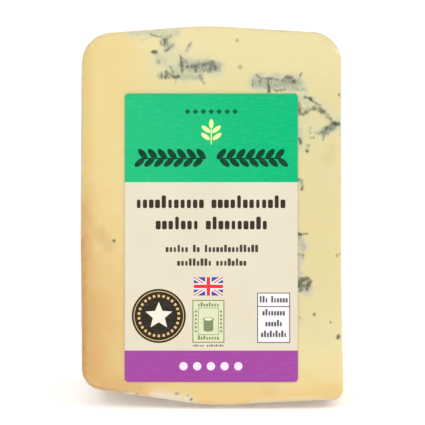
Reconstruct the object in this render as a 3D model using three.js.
// A wedge of blue-veined cheese, sealed tight in clear film, with a printed label on one cut face.
//
// The wedge is one slice of a disc that was sawn off the end of a tall, round cheese, and it
// stands on the crusty side of the cheese with its thin edge up. Units are millimetres, +Z is up
// and the labelled face looks towards -Y. The cheese's own axis runs along X, level with the thin
// edge, so every cut through the wedge that holds this axis has the same outline.
import * as THREE from "three";
import { mergeVertices } from "three/addons/utils/BufferGeometryUtils.js";

// The round cheese, and how it was cut.
const CHEESE_RADIUS = 105.4; // from the axis to the furthest point of the side crust
const HALF_WIDTH = 36.7; // half the disc's height, which lies along X here
const SLICES_IN_DISC = 16;
const HALF_ANGLE = Math.PI / SLICES_IN_DISC; // from the wedge's middle plane to either cut face
const TIP_HALF_THICKNESS = 1.5; // the cuts miss the axis by this much, which leaves a blunt tip
const EDGE_ROUND = 1.6; // the film presses the edges of the cut faces round
const FLAT_SPOT_DEPTH = 0.7; // how far the soft crust gives where the wedge stands

// The label and where it is stuck. Heights on a cut face run up from the foot of the crust.
const LABEL_WIDTH = 48;
const LABEL_HEIGHT = 80;
const LABEL_CORNER = 0.8;
const LABEL_THICKNESS = 0.4;
const LABEL_GAP = 0.3; // clear of the wedge, so that the two solids never touch
const LABEL_FOOT = 6.7;
const LABEL_ASIDE = -0.2; // from the middle of the face

// Outline of a cut face, counterclockwise as seen from the front: [across, up, rounding radius].
// The crusts are on the left and below; the saw cut is on the right and the tip is on top.
const OUTLINE_CORNERS = [
  [0.2 - HALF_WIDTH, CHEESE_RADIUS - 2.5, 8.2], // tip, at the end crust
  [-HALF_WIDTH, 48.5, 400], // the end crust bulges a little
  [0.4 - HALF_WIDTH, 5.0, 5.0], // where the two crusts meet
  [-1.0, -0.3, 80], // the foot of the side crust
  [HALF_WIDTH, 1.6, 2.9], // side crust, at the saw cut
  [HALF_WIDTH - 0.6, 38.0, 400], // the saw wandered a little
  [HALF_WIDTH - 0.6, CHEESE_RADIUS - 2.2, 7.8], // tip, at the saw cut
  [-2.0, CHEESE_RADIUS + 0.2, 120], // the tip's crown
];

// How finely the wedge is faceted.
const LONGEST_FACET = 4; // along the outline, in millimetres
const WIDEST_TURN = Math.PI / 16; // along the outline, from one facet to the next
const ROUNDING_STEPS = 3; // across each rounded edge
const WALL_STEPS = 10; // from one rounded edge to the other

const CHEESE_COLOUR = 0xf0dfa6;
const LABEL_COLOUR = 0xede3cc;

// The polygon of OUTLINE_CORNERS with an arc of its own radius in each corner.
function roundedOutline(corners) {
  const path = new THREE.Path();
  const points = corners.map(([across, up]) => new THREE.Vector2(across, up));
  points.forEach((corner, i) => {
    const back = points.at(i - 1).clone().sub(corner).normalize();
    const ahead = points[(i + 1) % points.length].clone().sub(corner).normalize();
    const radius = corners[i][2];
    const halfOpening = Math.acos(back.dot(ahead)) / 2;
    const bisector = back.clone().add(ahead).normalize();
    const centre = corner.clone().addScaledVector(bisector, radius / Math.sin(halfOpening));
    const reach = radius / Math.tan(halfOpening);
    const start = corner.clone().addScaledVector(back, reach).sub(centre);
    const end = corner.clone().addScaledVector(ahead, reach).sub(centre);
    const clockwise = back.cross(ahead) > 0;
    path.absarc(centre.x, centre.y, radius, start.angle(), end.angle(), clockwise);
  });
  path.closePath();
  return path;
}

// Points on the outline, each with the direction that leads into the face.
function outlineStations() {
  const points = roundedOutline(OUTLINE_CORNERS).curves.flatMap((curve) => {
    const length = curve.getLength();
    const turn = curve.isEllipseCurve ? length / curve.xRadius : 0;
    const facets = Math.ceil(Math.max(length / LONGEST_FACET, turn / WIDEST_TURN));
    return curve.getPoints(facets).slice(1);
  });
  return points.map((point, i) => {
    const ahead = points[(i + 1) % points.length];
    const along = ahead.clone().sub(points.at(i - 1)).normalize();
    return { point, inward: new THREE.Vector2(-along.y, along.x) };
  });
}

function halfThickness(up) {
  return TIP_HALF_THICKNESS + (CHEESE_RADIUS - up) * Math.sin(HALF_ANGLE);
}

// The place of a point given by its place on the outline plane and its share of the half
// thickness: -1 on the labelled face, 0 on the middle plane and 1 on the face behind.
function placeInWedge(across, up, share) {
  const fromAxis = CHEESE_RADIUS - up;
  const turn = share * HALF_ANGLE;
  const y = share * TIP_HALF_THICKNESS + fromAxis * Math.sin(turn);
  const z = CHEESE_RADIUS - FLAT_SPOT_DEPTH - fromAxis * Math.cos(turn);
  return new THREE.Vector3(across, y, Math.max(z, 0));
}

// The rings of points that cover the wedge, from the middle of the labelled face over its rounded
// edge, across the wall and round to the middle of the face behind. A ring has an inset from the
// outline and a depth below the labelled face, both in shares of the local edge radius, or a
// share of the way across the wall.
function wedgeRings() {
  const rounding = Array.from({ length: ROUNDING_STEPS + 1 }, (_, i) => {
    const angle = ((i / ROUNDING_STEPS) * Math.PI) / 2;
    return { inset: 1 - Math.sin(angle), depth: 1 - Math.cos(angle), across: 0 };
  });
  const wall = Array.from({ length: WALL_STEPS - 1 }, (_, i) => ({
    inset: 0,
    depth: 1,
    across: (i + 1) / WALL_STEPS,
  }));
  const behind = rounding.map((ring) => ({ ...ring, behind: true })).reverse();
  return [...rounding, ...wall, ...behind];
}

function ringPoint(ring, { point, inward }) {
  const radius = Math.min(EDGE_ROUND, 0.85 * halfThickness(point.y));
  const spot = point.clone().addScaledVector(inward, ring.inset * radius);
  const half = halfThickness(spot.y);
  const depth = ring.depth * radius + ring.across * 2 * (half - radius);
  const share = depth / half - 1;
  return placeInWedge(spot.x, spot.y, ring.behind ? -share : share);
}

// A ball has the same layout of vertices, so each one is moved to its place on the wedge. The
// ball's two poles become the centres of the two cut faces.
function wedgeGeometry() {
  const rings = wedgeRings();
  const stations = outlineStations();
  const around = stations.length;
  const ball = new THREE.SphereGeometry(1, around, rings.length + 1);
  ball.deleteAttribute("normal");
  ball.deleteAttribute("uv");
  const position = ball.getAttribute("position");
  for (let i = 0; i < position.count; i++) {
    const row = Math.floor(i / (around + 1));
    const station = stations[(i % (around + 1)) % around];
    let place;
    if (row === 0) place = placeInWedge(0, CHEESE_RADIUS / 2, -1);
    else if (row > rings.length) place = placeInWedge(0, CHEESE_RADIUS / 2, 1);
    else place = ringPoint(rings[row - 1], station);
    position.setXYZ(i, place.x, place.y, place.z);
  }
  const closed = mergeVertices(ball, 1e-4);
  closed.computeVertexNormals();
  return closed;
}

// The label lies in the XY plane, its lower edge on the X axis.
function labelGeometry() {
  const side = LABEL_WIDTH / 2;
  const corner = LABEL_CORNER;
  const quarter = Math.PI / 2;
  const shape = new THREE.Shape();
  shape.absarc(side - corner, corner, corner, -quarter, 0, false);
  shape.absarc(side - corner, LABEL_HEIGHT - corner, corner, 0, quarter, false);
  shape.absarc(corner - side, LABEL_HEIGHT - corner, corner, quarter, 2 * quarter, false);
  shape.absarc(corner - side, corner, corner, 2 * quarter, 3 * quarter, false);
  shape.closePath();
  const settings = { depth: LABEL_THICKNESS, bevelEnabled: false, curveSegments: 4 };
  return new THREE.ExtrudeGeometry(shape, settings);
}

function wedge() {
  const material = new THREE.MeshStandardMaterial({
    color: CHEESE_COLOUR,
    roughness: 0.35,
    metalness: 0,
  });
  const mesh = new THREE.Mesh(wedgeGeometry(), material);
  mesh.name = "wrapped_wedge";
  return mesh;
}

function label() {
  const material = new THREE.MeshStandardMaterial({
    color: LABEL_COLOUR,
    roughness: 0.45,
    metalness: 0,
  });
  const mesh = new THREE.Mesh(labelGeometry(), material);
  mesh.name = "label";
  mesh.position.set(LABEL_ASIDE, LABEL_FOOT, LABEL_GAP);
  return mesh;
}

// A frame on the labelled cut face: X runs across it, Y up it and Z out of it.
const labelledFace = new THREE.Group();
labelledFace.position.copy(placeInWedge(0, 0, -1));
labelledFace.rotation.x = Math.PI / 2 - HALF_ANGLE;
labelledFace.add(label());

const wrappedCheese = new THREE.Group();
wrappedCheese.add(wedge(), labelledFace);

export default wrappedCheese;
